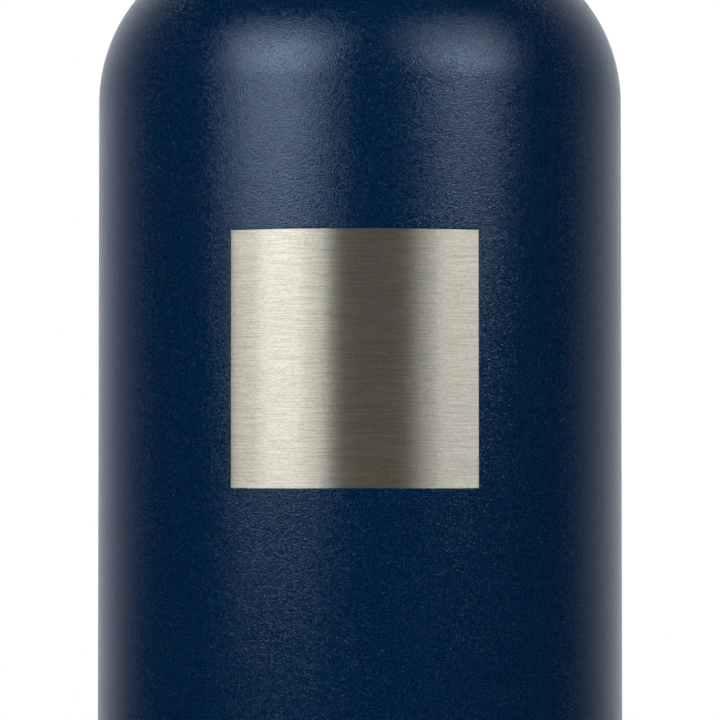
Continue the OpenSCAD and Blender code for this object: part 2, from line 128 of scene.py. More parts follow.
# Lid plug
PLUG_R = PLUG_THREAD_R - LID_THREAD_E - THREAD_ROOM
PLUG_WALL = 2
PLUG_BOTTOM_Z = low("lid_plug").z
LID_RING_R = PLUG_R + 0.8
FLANGE_R = high("lid_plug").x
FLANGE_T = 1.8
FLANGE_TOP_Z = high("lid_plug").z
FLANGE_Z = FLANGE_TOP_Z - FLANGE_T

# Spout and its thread
SPOUT_BORE_R = 10.5
SPOUT_R = 12.5
SPOUT_BOTTOM_Z = low("lid_spout").z
SPOUT_TOP_Z = high("lid_spout").z
CAP_LEAD = 4
CAP_THREAD_E = 0.5
CAP_THREAD_DROP = 2.8
CAP_THREAD_L = 7
SPOUT_THREAD_R = SPOUT_R + THREAD_ROOM + CAP_THREAD_E
CAP_THREAD_Z1 = SPOUT_TOP_Z - CAP_THREAD_DROP
CAP_THREAD_Z0 = CAP_THREAD_Z1 - CAP_THREAD_L
CAP_RING_R = SPOUT_BORE_R - 0.3

# Collar
SNAP_ROOM = 0.4  # how much thinner the collar's wall is over the flange
COLLAR_WALL = 1.7
COLLAR_Z = low("lid_collar").z
CROWN_Z = high("lid_collar").z
CROWN_H = 1.2
COLLAR_EDGE_Z = CROWN_Z - CROWN_H
COLLAR_R = FLANGE_R + MOULD_FIT / 2 + COLLAR_WALL - SNAP_ROOM
COLLAR_EDGE_R = 3
COLLAR_FLUTES = 44
CROWN_ROOM = 0.8
CROWN_BORE_R = SPOUT_THREAD_R + CAP_THREAD_E + CROWN_ROOM
SKIRT_FIT = 0.4
SKIRT_R = NECK_R + SKIRT_FIT

# Pivots. An x is that of the right side, and the left side mirrors it.
PIN_R = 1.5
PIN_HEAD_R = 3.6
PIN_HEAD_H = 1.4
PIN_HEAD_X = high("pivot_pin_right").x - PIN_HEAD_H
PIN_START_X = CROWN_BORE_R + COLLAR_WALL + 1
RECESS_H = 1
PIVOT_Z = (low("pivot_pin_left").z + high("pivot_pin_left").z) / 2
HUB_R = 6.2
PAD_X = low("pivot_washer_right").x
PEG_R = 0.9
PEG_H = 1.3
PEG_EDGE = 1  # from the peg to the hub's edge
PEG_DROP = HUB_R - PEG_R - PEG_EDGE
SLOT_DEPTH = 1.6

# Drinking cap
CAP_WALL = 2
CAP_PLATE_T = 1.8
CAP_PLUG_R = SPOUT_BORE_R - 0.6
CAP_PLUG_WALL = 1.6
CAP_Z = low("cap_shell").z
CAP_TOP_Z = high("cap_shell").z
CAP_LINER_R = high("cap_liner").x
CAP_PLATE_TOP_Z = high("cap_liner").z
CAP_PLUG_Z = low("cap_foam").z - MOULD_FIT / 2 - CAP_PLUG_WALL
CAP_SHELL_R = CAP_LINER_R + MOULD_FIT + CAP_WALL
CAP_FLUTES = 28
DISC_R = high("cap_disc").x
DISC_Z = low("cap_disc").z

# Handle
ARM_X = high("pivot_washer_right").x + TURN_FIT
ARM_OUT_X = high("handle_arch").x
BAND_T = ARM_OUT_X - ARM_X
BAR_W = high("handle_arch").y - low("handle_arch").y
BAR_Z = high("handle_arch").z - BAND_T
CORNER_R = 17


# ---- Outlines: lists of (radius, height) ----

WALL_HIT = 0.01  # how near a point's radius is to a wall's when it lies on that wall
ON_AXIS = 1e-6
THREAD_STEP = 0.16  # the longest stretch of a threaded wall's outline
THREAD_RUN = 0.5  # the height over which a thread fades in and out
FLUTE_STEP = 0.5  # the same two for a fluted wall
FLUTE_RUN = 1.6


def arc(x, z, r, start, end, step=3):
    """Points on an arc round (x, z), from the angle start to end, in degrees."""
    count = max(2, math.ceil(abs(end - start) / step))
    angles = [math.radians(start + (end - start) * i / count) for i in range(count + 1)]
    return [(x + r * math.cos(a), z + r * math.sin(a)) for a in angles]


def rounded(corners, step=12):
    """A closed outline from corners (x, z), or (x, z, radius) for a corner that is round."""
    outline = []
    for i, corner in enumerate(corners):
        here = Vector(corner[:2])
        r = corner[2] if len(corner) > 2 else 0
        if not r:
            outline.append(tuple(here))
            continue
        back = (Vector(corners[i - 1][:2]) - here).normalized()
        ahead = (Vector(corners[(i + 1) % len(corners)][:2]) - here).normalized()
        half = back.angle(ahead) / 2
        centre = here + (back + ahead).normalized() * r / math.sin(half)
        start = here + back * r / math.tan(half) - centre
        end = here + ahead * r / math.tan(half) - centre
        a = math.degrees(math.atan2(start.y, start.x))
        turn = (math.degrees(math.atan2(end.y, end.x)) - a + 180) % 360 - 180
        outline += arc(centre.x, centre.y, r, a, a + turn, step)
    return outline


def dense(outline, wall_r, longest, closed=True):
    """The outline with its wall at the radius wall_r split into stretches up to longest."""
    result = []
    for i, (x, z) in enumerate(outline):
        if i == len(outline) - 1 and not closed:
            result.append((x, z))
            break
        x1, z1 = outline[(i + 1) % len(outline)]
        on_wall = abs(x - wall_r) < WALL_HIT and abs(x1 - wall_r) < WALL_HIT
        count = max(1, math.ceil(abs(z1 - z) / longest)) if on_wall else 1
        result += [(x + (x1 - x) * k / count, z + (z1 - z) * k / count) for k in range(count)]
    return result


def vessel(wall_r, foot_z, edge_r, arc_r, fillet_r, neck_r, top_z):
    """A vessel's outside, from the foot up: rounded edge, wall, shoulder arc, fillet and neck."""
    arc_x = wall_r - arc_r
    fillet_x = neck_r + fillet_r
    rise = math.sqrt((arc_r + fillet_r) ** 2 - (fillet_x - arc_x) ** 2)
    lean = math.degrees(math.atan2(rise, fillet_x - arc_x))
    if edge_r:
        outline = arc(wall_r - edge_r, foot_z + edge_r, edge_r, -90, 0, step=6)
    else:
        outline = [(wall_r, foot_z)]
    outline += arc(arc_x, SHOULDER_Z, arc_r, 0, lean, step=1.5)
    outline += arc(fillet_x, SHOULDER_Z + rise, fillet_r, 180 + lean, 180, step=4)[1:]
    outline.append((neck_r, top_z))
    return outline


def bottle_outline(inset, top_z):
    """The outside of the bottle, drawn in by inset from the coat's surface."""
    return vessel(BODY_R - inset, inset - COAT_T, BASE_EDGE_R - inset, SHOULDER_R - inset,
                  NECK_FILLET_R + inset, NECK_R - inset, top_z)


def liner_outline(inset, top_z):
    """The outside of the liner above its seam, drawn in by inset."""
    return vessel(LINER_R - inset, LINER_SEAM_Z, 0, LINER_ARC_R - inset,
                  LINER_FILLET_R + inset, LINER_NECK_R - inset, top_z)


def above(outline, z):
    """The part of a rising outline that lies above z, with its first point at z."""
    for i in range(len(outline) - 1):
        (x0, z0), (x1, z1) = outline[i], outline[i + 1]
        if z0 <= z < z1:
            return [(x0 + (x1 - x0) * (z - z0) / (z1 - z0), z)] + outline[i + 1:]
    return outline


# ---- Meshes ----

def piece(name, points, faces):
    """A mesh object from points in mm, with smooth shading and sharp edges."""
    mesh = bpy.data.meshes.new(name)
    mesh.from_pydata([(x * MM, y * MM, z * MM) for x, y, z in points], [], faces)
    made = bmesh.new()
    made.from_mesh(mesh)
    bmesh.ops.recalc_face_normals(made, faces=made.faces)
    made.to_mesh(mesh)
    made.free()
    obj = bpy.data.objects.new(name, mesh)
    bpy.context.scene.collection.objects.link(obj)
    soften(obj)
    return obj


def soften(obj, sharp=40):
    """Smooth shading but for edges past sharp degrees, weighted so that flat faces stay flat."""
    obj.data.polygons.foreach_set("use_smooth", [True] * len(obj.data.polygons))
    obj.data.set_sharp_from_angle(angle=math.radians(sharp))
    weighted = obj.modifiers.get("weighted") or obj.modifiers.new("weighted", "WEIGHTED_NORMAL")
    weighted.keep_sharp = True


def turned(name, outline, columns, warp=None):
    """A solid turned round Z. The outline is a closed loop, or starts and ends on the axis.

    warp takes (angle, radius, height) and gives the new radius.
    """
    points, rings = [], []
    for r, z in outline:
        if r < ON_AXIS:
            rings.append([len(points)] * columns)
            points.append((0, 0, z))
            continue
        rings.append(list(range(len(points), len(points) + columns)))
        for i in range(columns):
            a = 2 * math.pi * i / columns
            at = warp(a, r, z) if warp else r
            points.append((at * math.cos(a), at * math.sin(a), z))
    faces = []
    open_on_axis = outline[0][0] < ON_AXIS and outline[-1][0] < ON_AXIS
    for i in range(len(rings) - 1 if open_on_axis else len(rings)):
        lower, upper = rings[i], rings[(i + 1) % len(rings)]
        for k in range(columns):
            n = (k + 1) % columns
            quad = [lower[k], lower[n], upper[n], upper[k]]
            faces.append(list(dict.fromkeys(quad)))
    return piece(name, points, [f for f in faces if len(f) > 2])


def stud(name, r, foot, top, edge_r, columns):
    """A cylinder from foot to top with a rounded upper edge."""
    edge = arc(r - edge_r, top - edge_r, edge_r, 0, 90, step=15)
    return turned(name, [(0, foot), (r, foot)] + edge + [(0, top)], columns)


def along_x(obj, side, z):
    """Lays a turned piece along X, pointing to the side 1 or -1, with its axis at height z."""
    turn = Matrix.Rotation(side * math.pi / 2, 4, "Y")
    obj.data.transform(Matrix.Translation((0, 0, z * MM)) @ turn)
    return obj


def thread_radius(a, z, r, e, lead, start_z):
    """The radius at angle a of a disc of radius r that is set off by e and turns as it rises."""
    phase = a - 2 * math.pi * (z - start_z) / lead
    return e * math.cos(phase) + math.sqrt(r * r - (e * math.sin(phase)) ** 2)


def ease(x, start, end):
    """0 before start and 1 after end, with a smooth step between."""
    t = min(1, max(0, (x - start) / (end - start)))
    return t * t * (3 - 2 * t)


def fading(z, z0, z1, run):
    """1 between z0 and z1, easing to 0 at both over the height run."""
    return ease(z, z0, z0 + run) * (1 - ease(z, z1 - run, z1))


def threaded(plain_r, thread_r, e, lead, start_z, z0, z1):
    """A warp that cuts a thread in the wall at radius plain_r between z0 and z1."""
    def warp(a, r, z):
        if abs(r - plain_r) > WALL_HIT:
            return r
        share = fading(z, z0, z1, THREAD_RUN)
        return plain_r + share * (thread_radius(a, z, thread_r, e, lead, start_z) - plain_r)
    return warp


def male_thread(plain_r, thread_r, e, lead, z0, z1):
    """The warp of a thread that is cut outside a tube, a little shorter than its mate."""
    return threaded(plain_r, thread_r, e, lead, z0, z0 + THREAD_INSET, z1 - THREAD_INSET)


def female_thread(plain_r, thread_r, e, lead, z0, z1):
    """The warp of a thread in a bore, from a little below z0 to a little above z1."""
    below, over = 0.4, 0.3
    return threaded(plain_r, thread_r, e, lead, z0, z0 - below, z1 + over)


def fluted(wall_r, count, depth, width, z0, z1, skip=None):
    """A warp that presses upright flutes into the wall at radius wall_r between z0 and z1.

    skip takes a flute's angle and is true for one that is left out.
    """
    def warp(a, r, z):
        if abs(r - wall_r) > WALL_HIT or not z0 < z < z1:
            return r
        nearest = (math.floor(a * count / (2 * math.pi)) + 0.5) * 2 * math.pi / count
        if skip and skip(nearest):
            return r
        off = abs(a - nearest) * wall_r / (width / 2)
        if off >= 1:
            return r
        share = fading(z, z0, z1, FLUTE_RUN)
        return r - depth * share * (0.5 + 0.5 * math.cos(math.pi * off))
    return warp


def cut(obj, cutter):
    """Takes the cutter out of the piece, and removes the cutter."""
    knife = obj.modifiers.new("cut", "BOOLEAN")
    knife.solver = "EXACT"
    knife.object = cutter
    obj.modifiers.remove(obj.modifiers["weighted"])
    evaluated = obj.evaluated_get(bpy.context.evaluated_depsgraph_get())
    mesh = bpy.data.meshes.new_from_object(evaluated)
    obj.modifiers.clear()
    obj.data = mesh
    bpy.data.objects.remove(cutter)
    soften(obj, sharp=30)


def join(obj, *others):
    """Adds the other meshes to the piece's mesh, and removes their objects."""
    made = bmesh.new()
    made.from_mesh(obj.data)
    for other in others:
        made.from_mesh(other.data)
        bpy.data.objects.remove(other)
    made.to_mesh(obj.data)
    made.free()
    soften(obj)


# ---- Materials ----

NOISE_SPAN = (0.3, 0.7)  # where most of a noise's values lie


class Tree:
    """The node tree of a material or world, with short ways to add nodes."""

    def __init__(self, owner):
        owner.use_nodes = True
        self.nodes = owner.node_tree.nodes
        self.links = owner.node_tree.links

    def node(self, kind, **settings):
        """A new shader node of the kind, with its settings."""
        made = self.nodes.new("ShaderNode" + kind)
        for setting, value in settings.items():
            setattr(made, setting, value)
        return made

    def math(self, operation, *values):
        """The result of a Math node. Each value is a number or a socket."""
        made = self.node("Math", operation=operation)
        for socket, value in zip(made.inputs, values):
            if isinstance(value, bpy.types.NodeSocket):
                self.links.new(value, socket)
            else:
                socket.default_value = value
        return made.outputs[0]

    def range(self, value, low_in, high_in, low_out, high_out):
        """The value, mapped from one range to another and kept within it."""
        made = self.node("MapRange")
        self.links.new(value, made.inputs["Value"])
        for socket, number in zip(list(made.inputs)[1:5], (low_in, high_in, low_out, high_out)):
            socket.default_value = number
        return made.outputs[0]

    def blend(self, share, first, second):
        """Two shaders, mixed by the share of the second."""
        made = self.node("MixShader")
        for socket, source in zip(made.inputs, (share, first, second)):
            self.links.new(source, socket)
        return made.outputs[0]


class Surface(Tree):
    """A Principled material with short ways to add the detail that its nodes give."""

    def __init__(self, name, color=None, **sockets):
        """color is the base colour, unless tint() gives one. A socket's name has _ for spaces."""
        self.material = bpy.data.materials.new(name)
        super().__init__(self.material)
        self.shader = self.nodes["Principled BSDF"]
        if color:
            self.shader.inputs["Base Color"].default_value = (*color, 1)
        for socket, value in sockets.items():
            self.shader.inputs[socket.replace("_", " ")].default_value = value
        self.place = self.node("TexCoord").outputs["Object"]
        self.height = None

    def noise_at(self, place, scale, detail):
        """Noise from 0 to 1, read at a place that is scaled first."""
        made = self.node("TexNoise")
        self.links.new(place, made.inputs["Vector"])
        made.inputs["Scale"].default_value = scale
        made.inputs["Detail"].default_value = detail
        return made.outputs["Fac"]

    def noise(self, size, detail=2):
        """Noise whose features are about size mm across."""
        return self.noise_at(self.place, 1 / (size * MM), detail)

    def streaks(self, per_metre, detail):
        """Noise with a different number of features per metre along X, Y and Z."""
        made = self.node("Mapping")
        self.links.new(self.place, made.inputs["Vector"])
        made.inputs["Scale"].default_value = per_metre
        return self.noise_at(made.outputs[0], 1, detail)

    def bump(self, height, depth):
        """Raises the surface by height times depth mm, on top of earlier bumps."""
        made = self.node("Bump")
        made.inputs["Distance"].default_value = depth * MM
        self.links.new(height, made.inputs["Height"])
        if self.height:
            self.links.new(self.height, made.inputs["Normal"])
        self.height = made.outputs[0]
        self.links.new(self.height, self.shader.inputs["Normal"])

    def rough(self, noise, lowest, highest):
        """Gives the shader a roughness that varies with a noise."""
        varied = self.range(noise, *NOISE_SPAN, lowest, highest)
        self.links.new(varied, self.shader.inputs["Roughness"])

    def mixed(self, value, first, second):
        """Two colours mixed by a value from 0 to 1. Each is three numbers or a socket."""
        made = self.node("Mix", data_type="RGBA")
        self.links.new(value, made.inputs["Factor"])
        for socket, color in ((made.inputs[6], first), (made.inputs[7], second)):
            if isinstance(color, bpy.types.NodeSocket):
                self.links.new(color, socket)
            else:
                socket.default_value = (*color, 1)
        return made.outputs[2]

    def tint(self, value, first, second):
        """Mixes two base colours by a value from 0 to 1."""
        self.links.new(self.mixed(value, first, second), self.shader.inputs["Base Color"])

    def brushed_tangent(self):
        """Turns the anisotropy round Z."""
        made = self.node("Tangent", direction_type="RADIAL", axis="Z")
        self.links.new(made.outputs[0], self.shader.inputs["Tangent"])


def powder_coat_surface():
    """Dark blue powder coat: a fine orange peel, sparse steep pits and a speckle of two blues."""
    coat = Surface("powder_coat", IOR=1.5, Specular_Tint=(0.62, 0.8, 1, 1))
    coat.bump(coat.noise(size=0.16, detail=0), depth=0.033)
    pit_rim, pit_floor = 0.66, 0.73  # values of the noise
    pits = coat.range(coat.noise(size=0.2, detail=0), pit_rim, pit_floor, 1, 0)
    coat.bump(pits, depth=0.025)
    speckle = coat.range(coat.noise(size=0.13, detail=0), *NOISE_SPAN, 0, 1)
    dark_blue, light_blue = (0.0001, 0.0043, 0.0182), (0.0006, 0.0169, 0.0555)
    coat.tint(speckle, dark_blue, light_blue)
    coat.rough(coat.noise(size=3), 0.06, 0.1)
    return coat.material


def brushed_steel_surface():
    """Warm bare steel, brushed round the body."""
    steel = Surface("brushed_steel", Metallic=0.9, Anisotropic=1, Anisotropic_Rotation=0.25)
    streaks = steel.streaks((500, 500, 8000), detail=1)
    steel.rough(streaks, 0.32, 0.38)
    steel.bump(streaks, depth=0.003)
    long_lines = steel.streaks((260, 260, 8200), detail=0)
    short_lines = steel.streaks((2200, 2200, 9000), detail=0)
    both = steel.math("MULTIPLY", steel.math("ADD", long_lines, short_lines), 0.5)
    dark_steel, light_steel = (0.359, 0.354, 0.304), (0.501, 0.493, 0.429)
    steel.tint(steel.range(both, 0.35, 0.65, 0, 1), dark_steel, light_steel)
    steel.brushed_tangent()
    return steel.material


def satin_steel_surface(name, roughness):
    """Plain steel with faint rings round the Z axis."""
    steel = Surface(name, (0.62, 0.61, 0.59), Metallic=1)
    rings = steel.streaks((120, 120, 5000), detail=2)
    steel.rough(rings, roughness - 0.05, roughness + 0.06)
    steel.bump(rings, depth=0.0015)
    return steel.material


def spun_steel_surface(name, color):
    """Steel with rings brushed or spun round the Z axis on a flat face."""
    steel = Surface(name, color, Metallic=1, Anisotropic=0.75)
    rings_per_metre, arcs_per_metre = 7000, 60
    axes = steel.node("SeparateXYZ")
    steel.links.new(steel.place, axes.inputs[0])
    x, y = axes.outputs[0], axes.outputs[1]
    squares = [steel.math("MULTIPLY", axis, axis) for axis in (x, y)]
    reach = steel.math("SQRT", steel.math("ADD", *squares))
    place = steel.node("CombineXYZ")
    steel.links.new(steel.math("MULTIPLY", reach, rings_per_metre), place.inputs[0])
    steel.links.new(steel.math("MULTIPLY", x, arcs_per_metre), place.inputs[1])
    steel.links.new(steel.math("MULTIPLY", y, arcs_per_metre), place.inputs[2])
    rings = steel.noise_at(place.outputs[0], scale=1, detail=3)
    steel.rough(rings, 0.2, 0.34)
    steel.bump(rings, depth=0.002)
    steel.brushed_tangent()
    return steel.material


def moulded_surface(name, color, roughness=0.46, grain=0.02):
    """Moulded plastic with a grain that is grain mm deep."""
    plastic = Surface(name, IOR=1.5)
    plastic.bump(plastic.noise(size=0.28), depth=grain)
    plastic.rough(plastic.noise(size=6), roughness - 0.04, roughness + 0.04)
    plastic.tint(plastic.noise(size=14), color, tuple(c * 1.35 for c in color))
    return plastic.material


def rubber_surface(name, color):
    """Soft rubber, duller than the plastic."""
    rubber = Surface(name, IOR=1.45, Specular_IOR_Level=0.35)
    rubber.bump(rubber.noise(size=0.2), depth=0.012)
    rubber.rough(rubber.noise(size=5), 0.66, 0.78)
    rubber.tint(rubber.noise(size=8), color, tuple(c * 1.4 for c in color))
    return rubber.material


def foam_surface():
    """Yellowish insulating foam."""
    foam = Surface("foam", Roughness=0.9)
    foam.bump(foam.noise(size=0.6, detail=3), depth=0.1)
    foam.tint(foam.noise(size=4, detail=3), (0.72, 0.65, 0.46), (0.82, 0.77, 0.6))
    return foam.material


def foil_surface():
    """Crumpled reflective foil."""
    foil = Surface("foil", (0.86, 0.86, 0.87), Metallic=1)
    foil.bump(foil.noise(size=4, detail=4), depth=0.15)
    foil.rough(foil.noise(size=3), 0.15, 0.3)
    return foil.material


def glass_bead_surface():
    """Dark sealing glass, slightly wavy."""
    glass = Surface("bead_glass", (0.02, 0.028, 0.032), IOR=1.55)
    glass.rough(glass.noise(size=1.2), 0.05, 0.14)
    glass.bump(glass.noise(size=1.5), depth=0.02)
    return glass.material


def getter_surface():
    """Sintered grey metal."""
    pill = Surface("getter_pill", Metallic=0.6, Roughness=0.65)
    pill.bump(pill.noise(size=0.3, detail=3), depth=0.04)
    pill.tint(pill.noise(size=0.5, detail=3), (0.07, 0.07, 0.075), (0.16, 0.16, 0.165))
    return pill.material


BLACK = (0.011, 0.0115, 0.0125)
coat_finish = powder_coat_surface()
shell_finish = brushed_steel_surface()
liner_finish = satin_steel_surface("liner_steel", 0.24)
base_finish = spun_steel_surface("base_steel", (0.62, 0.6, 0.56))
disc_finish = spun_steel_surface("disc_steel", (0.66, 0.62, 0.56))
pin_finish = satin_steel_surface("pin_steel", 0.2)
lid_finish = moulded_surface("lid_black", BLACK)
handle_finish = moulded_surface("handle_black", BLACK, roughness=0.42)
washer_finish = moulded_surface("washer_plastic", (0.6, 0.6, 0.57), roughness=0.35, grain=0.004)
gasket_finish = rubber_surface("gasket_rubber", (0.05, 0.052, 0.058))
grip_finish = rubber_surface("grip_rubber", (0.02, 0.021, 0.024))
bead_finish = glass_bead_surface()
foil_finish = foil_surface()
foam_finish = foam_surface()
getter_finish = getter_surface()


def dress(obj, finish, node):
    """Gives a piece its material, puts it under its CAD node's body, and lets it stand for that node."""
    obj.data.materials.clear()
    obj.data.materials.append(finish)
    bodies = frame["record"]["behaviour"]["bodies"]
    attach(obj, next(body for body, nodes in bodies.items() if node in nodes))
    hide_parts(node)


def refinish(node, finish):
    """Gives a CAD node that stays a better material."""
    mesh = frame["nodes"][node].data
    mesh.materials.clear()
    mesh.materials.append(finish)


# ---- Flask ----

def make_coat():
    """The powder coat: a thin skin with a sharp square window in front and soft edges round it."""
    columns = 720
    lead_in = 0.35  # degrees from the window's edge to the coat's full thickness
    soft = 0.2  # the same above and below the window, in mm
    edge_drop = COAT_T * 0.12  # how much lower the coat is right at the window's edge
    half = math.degrees(ETCH_W / BODY_R) / 2
    left, right = -90 - half, -90 + half
    z0, z1 = ETCH_TOP_Z - ETCH_H, ETCH_TOP_Z
    angles = [360 * i / columns - 180 for i in range(columns)]
    angles = [a for a in angles if all(abs(a - edge) > 2 * lead_in for edge in (left, right))]
    angles = sorted(angles + [left - lead_in, left, right, right + lead_in])

    def skin(inset):
        """The coat's face at the depth inset, with points where the window starts and ends."""
        rising = above(bottle_outline(inset, COAT_TOP_Z), COAT_FOOT_Z)
        wall = max(i for i, p in enumerate(rising) if p[1] <= z0)
        marks = [(BODY_R - inset, z) for z in (z0 - soft, z0, z1, z1 + soft)]
        return rising[:wall + 1] + marks + rising[wall + 1:]

    outer, inner = skin(0), skin(COAT_T)[::-1]
    rows = outer + inner
    wide, tall = len(angles), len(rows)

    def on_edge(a, z):
        """Whether a point lies on the window's edge."""
        upright = a in (left, right) and z0 <= z <= z1
        level = z in (z0, z1) and left <= a <= right
        return upright or level

    points = []
    for i, (r, z) in enumerate(rows):
        for a in angles:
            at = r - edge_drop if i < len(outer) and on_edge(a, z) else r
            points.append((at * math.cos(math.radians(a)), at * math.sin(math.radians(a)), z))

    def in_window(i, k):
        """Whether the face between the rows i and i + 1 and the columns k and k + 1 is cut out."""
        z = rows[i][1]
        row_cut = z0 <= z < z1 if i < len(outer) else z0 < z <= z1
        return row_cut and left <= angles[k] < right

    faces = []
    for i in range(tall):
        for k in range(wide):
            if in_window(i, k):
                continue
            n, up = (k + 1) % wide, (i + 1) % tall
            faces.append([i * wide + k, i * wide + n, up * wide + n, up * wide + k])

    def first_point(z, side):
        """The first point of the row at height z, in the range of rows of one side."""
        return wide * next(i for i in side if rows[i][1] == z)

    outer_rows, inner_rows = range(len(outer)), range(len(outer), tall)
    low_out, high_out = first_point(z0, outer_rows), first_point(z1, outer_rows)
    low_in, high_in = first_point(z0, inner_rows), first_point(z1, inner_rows)
    first, last = angles.index(left), angles.index(right)
    for k in range(first, last):
        faces.append([low_out + k, low_out + k + 1, low_in + k + 1, low_in + k])
        faces.append([high_out + k, high_out + k + 1, high_in + k + 1, high_in + k])
    for k in (first, last):
        faces.append([low_out + k, high_out + k, high_in + k, low_in + k])
    return piece("coat", points, faces)


def make_shell():
    """The outer wall in one piece, from the foot's edge to the neck."""
    outside = bottle_outline(COAT_T, SHELL_TOP_Z)
    inside = bottle_outline(COAT_T + STEEL_T, SHELL_TOP_Z)
    outline = [(PLATE_R, 0)] + outside + inside[::-1] + [(PLATE_R, STEEL_T)]
    return turned("shell", outline, columns=512)


def make_liner():
    """The liner's wall with its rolled lip and the neck's thread."""
    lip_r = NECK_R - COAT_T
    lip_foot_z = LIP_Z - LIP_H
    bore_top_z = NECK_THREAD_Z1 + THREAD_END
    bore_foot_z = NECK_THREAD_Z0 - 0.6
    throat_z = NECK_THREAD_Z0 - 1  # where the bore has widened to the mouth's radius again
    lip = rounded([
        (LINER_NECK_R, lip_foot_z), (lip_r, lip_foot_z, 0.3), (lip_r, LIP_Z, 0.7),
        (MOUTH_R, LIP_Z, 0.5), (MOUTH_R, bore_top_z + 0.3)])
    bore = [(NECK_BORE_R, bore_top_z), (NECK_BORE_R, bore_foot_z), (MOUTH_R, throat_z)]
    bore = dense(bore, NECK_BORE_R, THREAD_STEP, closed=False)
    outside = liner_outline(0, lip_foot_z)[:-1]
    inside = [p for p in liner_outline(STEEL_T, LIP_Z) if p[1] < throat_z]
    warp = female_thread(NECK_BORE_R, NECK_THREAD_R, LID_THREAD_E, LID_LEAD,
                         NECK_THREAD_Z0, NECK_THREAD_Z1)
    return turned("liner", outside + lip + bore + inside[::-1], 256, warp)


def make_base():
    """The base plate with its pressed edge and the dimple round the vacuum port."""
    roof_z = DIMPLE_TOP_Z - STEEL_T
    plate_z = roof_z - DIMPLE_H
    outline = rounded([
        (PLATE_R - STEEL_T, 0, 0.15), (PLATE_R, 0), (PLATE_R, plate_z + STEEL_T, 0.7),
        (DIMPLE_R, plate_z + STEEL_T, 0.3), (DIMPLE_R, DIMPLE_TOP_Z, 0.3),
        (PORT_R, DIMPLE_TOP_Z), (PORT_R, roof_z), (DIMPLE_R - STEEL_T, roof_z, 0.2),
        (DIMPLE_R - STEEL_T, plate_z, 0.4), (PLATE_R - STEEL_T, plate_z, 0.3)])
    return turned("base_plate", outline, columns=256)


def make_bead():
    """The bead of glass that fills the port and spreads below it."""
    foot_z, top_z = low("vacuum_seal").z, high("vacuum_seal").z
    edge = arc(high("vacuum_seal").x - BEAD_H, foot_z + BEAD_H, BEAD_H, -90, 0, step=10)
    outline = [(0, foot_z)] + edge + [(PORT_R, foot_z + BEAD_H), (PORT_R, top_z), (0, top_z)]
    return turned("seal_bead", outline, columns=96)


# ---- Lid ----

def make_gasket(name, node, inner_r, edge_r):
    """A flat rubber ring as large as its CAD node, with round edges."""
    z0, z1, outer_r = low(node).z, high(node).z, high(node).x
    outline = rounded([(inner_r, z0, edge_r), (outer_r, z0, edge_r),
                       (outer_r, z1, edge_r), (inner_r, z1, edge_r)])
    return turned(name, outline, columns=192)


def make_plug():
    """The plug with its thread and the flange that the collar grips."""
    bore_r = PLUG_R - PLUG_WALL
    outline = rounded([
        (bore_r, PLUG_BOTTOM_Z), (PLUG_R, PLUG_BOTTOM_Z), (PLUG_R, FLANGE_Z, 0.5),
        (FLANGE_R, FLANGE_Z, 0.3), (FLANGE_R, FLANGE_TOP_Z, 0.3),
        (SPOUT_R, FLANGE_TOP_Z), (SPOUT_R, FLANGE_Z), (bore_r, FLANGE_Z)])
    warp = male_thread(PLUG_R, PLUG_THREAD_R, LID_THREAD_E, LID_LEAD,
                       NECK_THREAD_Z0, NECK_THREAD_Z1)
    return turned("plug", dense(outline, PLUG_R, THREAD_STEP), 192, warp)


def make_spout():
    """The spout with its outside thread and a round lip to drink from."""
    outline = rounded([
        (SPOUT_BORE_R, SPOUT_BOTTOM_Z), (SPOUT_R, SPOUT_BOTTOM_Z),
        (SPOUT_R, SPOUT_TOP_Z, 0.9), (SPOUT_BORE_R, SPOUT_TOP_Z, 0.9)])
    warp = male_thread(SPOUT_R, SPOUT_THREAD_R, CAP_THREAD_E, CAP_LEAD,
                       CAP_THREAD_Z0, CAP_THREAD_Z1)
    return turned("spout", dense(outline, SPOUT_R, THREAD_STEP), 160, warp)


